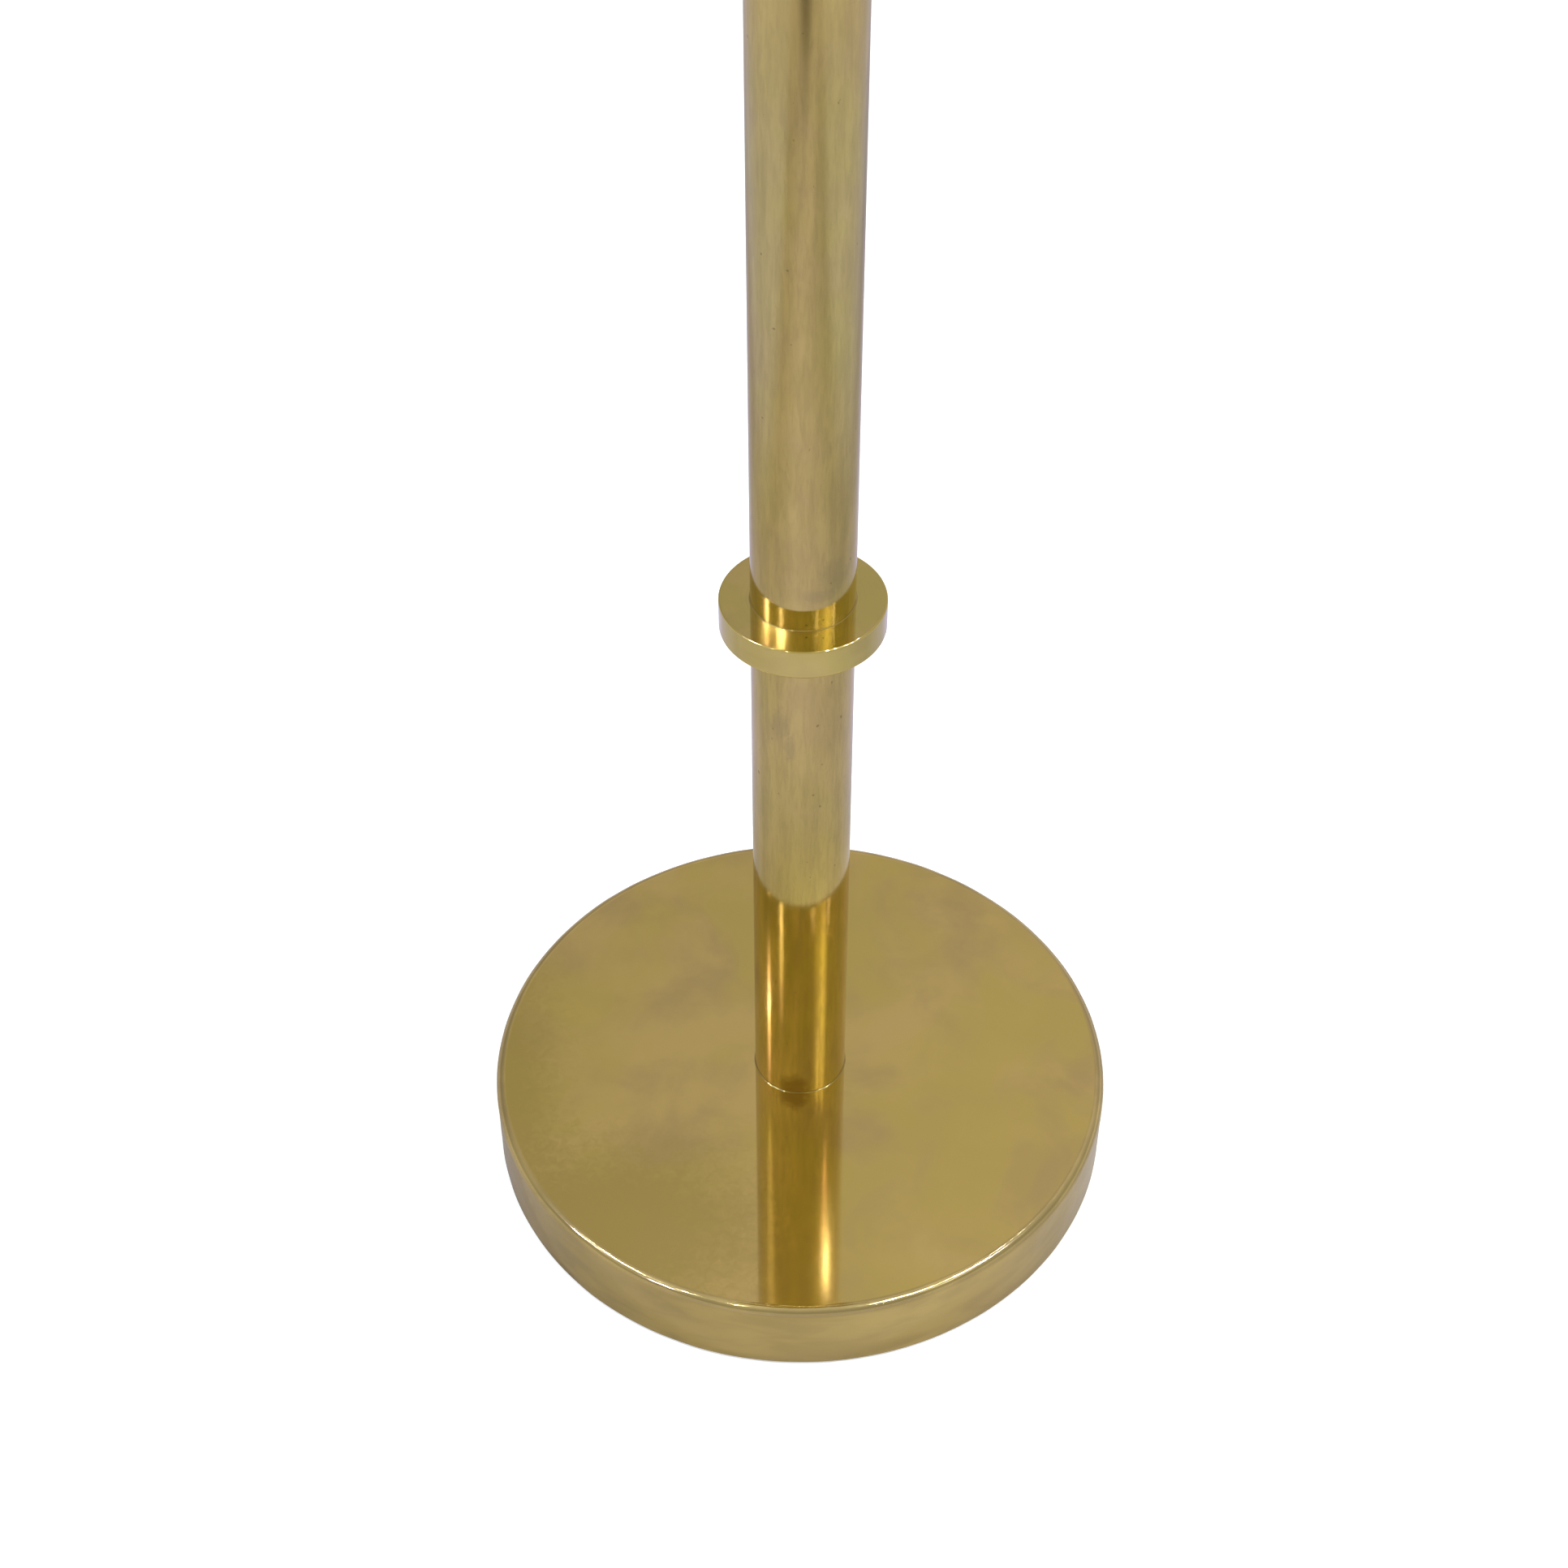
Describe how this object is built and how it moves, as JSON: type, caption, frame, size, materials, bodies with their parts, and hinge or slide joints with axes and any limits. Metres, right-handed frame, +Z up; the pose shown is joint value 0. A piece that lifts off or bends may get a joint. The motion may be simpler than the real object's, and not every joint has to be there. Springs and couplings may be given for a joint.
{
  "type": "pillar candle holder",
  "caption": "Tall brass pillar candle holder: round weighted base, straight tube stem with a ring collar, drip pan and spike.",
  "frame": {"origin": "middle of the felt's underside, on the surface that the holder stands on", "axes": "+Z up along the stem's axis; the holder is round, so +X and +Y are any two directions at right angles across it"},
  "size_m": [0.17, 0.17, 0.47],
  "materials": {
    "polished_brass": "hand-polished, lightly tarnished",
    "turned_brass": "turned, unpolished",
    "cast_iron": "rough cast",
    "zinc_steel": "bright zinc plate",
    "green_felt": "pressed wool felt"
  },
  "bodies": {
    "root": {"base_cover": "polished_brass", "base_weight": "cast_iron", "bottom_plate": "zinc_steel", "bottom_plate_screw_1": "zinc_steel", "bottom_plate_screw_2": "zinc_steel", "bottom_plate_screw_3": "zinc_steel", "felt_pad": "green_felt", "tie_rod": "zinc_steel", "rod_nut": "zinc_steel", "rod_spring_washer": "zinc_steel", "rod_washer": "zinc_steel", "foot_bush": "turned_brass", "lower_tube": "polished_brass", "coupling_sleeve": "turned_brass", "stem_collar": "polished_brass", "upper_tube": "polished_brass", "head_bush": "turned_brass", "pan_collar": "polished_brass", "drip_pan": "polished_brass", "pan_washer": "turned_brass", "candle_spike": "polished_brass"}
  },
  "joints": []
}
